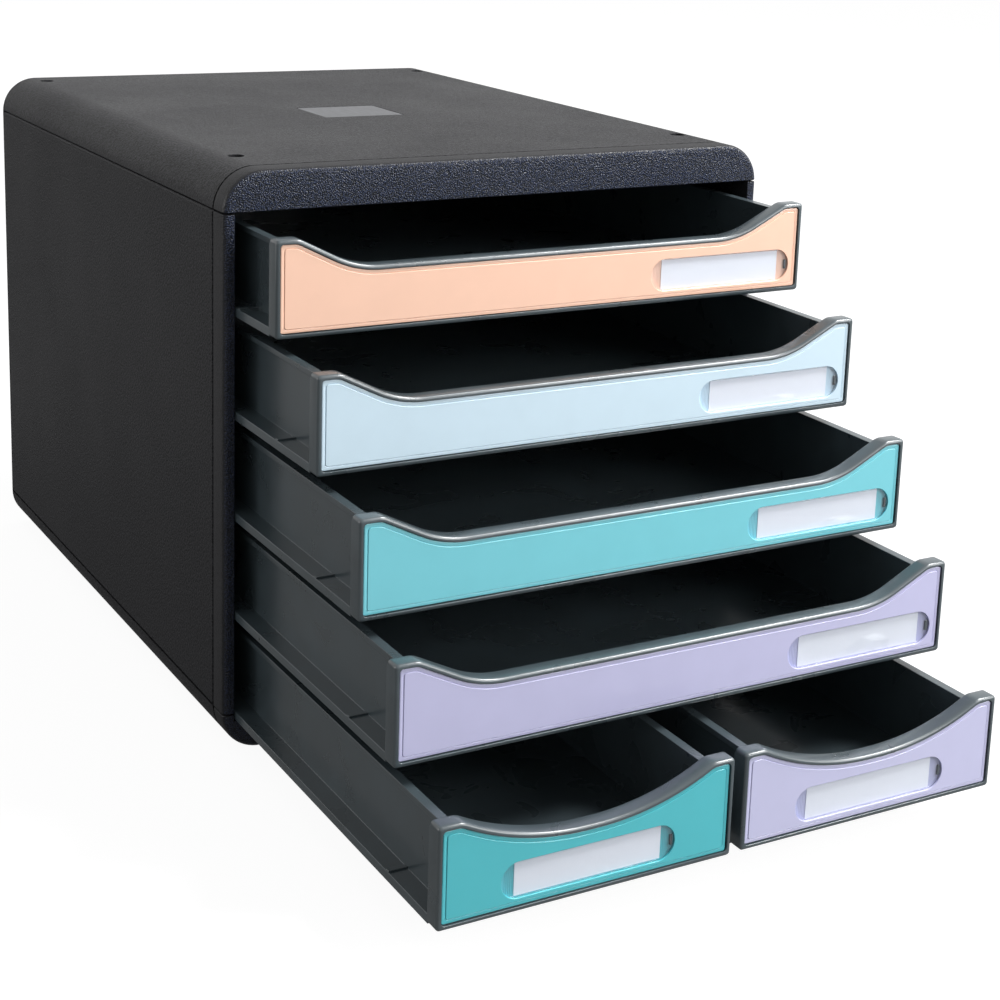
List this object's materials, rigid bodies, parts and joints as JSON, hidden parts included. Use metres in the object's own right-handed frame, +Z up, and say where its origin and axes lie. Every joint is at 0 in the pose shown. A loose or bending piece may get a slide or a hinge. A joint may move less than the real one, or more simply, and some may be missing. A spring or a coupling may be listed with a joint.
{
  "type": "scrapbook paper storage drawers",
  "caption": "Charcoal plastic desktop drawer cabinet with wide scooped-front trays over two half-width ones, pastel fronts and clear label windows",
  "frame": {"origin": "middle of the flat underside of the base cover; the feet reach 1.5 mm below it", "axes": "+X to the right seen from the front, +Y to the back, +Z up; the drawers open along -Y"},
  "size_m": [0.278, 0.545, 0.267],
  "materials": {
    "case_shell": "fine grained charcoal moulding",
    "front_ring": "coarse grained blue-black moulding with a sheen",
    "plaque_satin": "bare light grey satin",
    "tray_grey": "smooth blue-grey moulding",
    "peach_panel": "glossy peach",
    "pale_blue_panel": "glossy pale blue",
    "turquoise_panel": "glossy turquoise",
    "lilac_panel": "glossy lilac",
    "teal_panel": "glossy teal",
    "violet_panel": "glossy pale violet",
    "label_card": "bare matt card",
    "clear_lens": "clear polished plastic"
  },
  "bodies": {
    "case": {"top_cover": "case_shell", "base_cover": "case_shell", "rear_panel": "case_shell", "left_side_panel": "case_shell", "right_side_panel": "case_shell", "centre_divider": "case_shell", "front_visor": "front_ring", "bottom_rail": "front_ring", "left_front_post": "front_ring", "right_front_post": "front_ring", "stacking_feet": "case_shell", "top_plaque": "plaque_satin"},
    "top_drawer": {"top_drawer_tray": "tray_grey", "top_drawer_panel": "peach_panel", "top_drawer_label": "label_card", "top_drawer_lens": "clear_lens"},
    "second_drawer": {"second_drawer_tray": "tray_grey", "second_drawer_panel": "pale_blue_panel", "second_drawer_label": "label_card", "second_drawer_lens": "clear_lens"},
    "third_drawer": {"third_drawer_tray": "tray_grey", "third_drawer_panel": "turquoise_panel", "third_drawer_label": "label_card", "third_drawer_lens": "clear_lens"},
    "fourth_drawer": {"fourth_drawer_tray": "tray_grey", "fourth_drawer_panel": "lilac_panel", "fourth_drawer_label": "label_card", "fourth_drawer_lens": "clear_lens"},
    "left_half_drawer": {"left_half_drawer_tray": "tray_grey", "left_half_drawer_panel": "teal_panel", "left_half_drawer_label": "label_card", "left_half_drawer_lens": "clear_lens"},
    "right_half_drawer": {"right_half_drawer_tray": "tray_grey", "right_half_drawer_panel": "violet_panel", "right_half_drawer_label": "label_card", "right_half_drawer_lens": "clear_lens"}
  },
  "joints": [
    {"name": "top_drawer_slide", "type": "slide", "parent": "case", "child": "top_drawer", "axis": [0, -1, 0], "range_m": [-0.0445, 0.1755]},
    {"name": "second_drawer_slide", "type": "slide", "parent": "case", "child": "second_drawer", "axis": [0, -1, 0], "range_m": [-0.087, 0.133]},
    {"name": "third_drawer_slide", "type": "slide", "parent": "case", "child": "third_drawer", "axis": [0, -1, 0], "range_m": [-0.1275, 0.0925]},
    {"name": "fourth_drawer_slide", "type": "slide", "parent": "case", "child": "fourth_drawer", "axis": [0, -1, 0], "range_m": [-0.1605, 0.0595]},
    {"name": "left_half_drawer_slide", "type": "slide", "parent": "case", "child": "left_half_drawer", "axis": [0, -1, 0], "range_m": [-0.198, 0.022]},
    {"name": "right_half_drawer_slide", "type": "slide", "parent": "case", "child": "right_half_drawer", "axis": [0, -1, 0], "range_m": [-0.1975, 0.0225]}
  ]
}
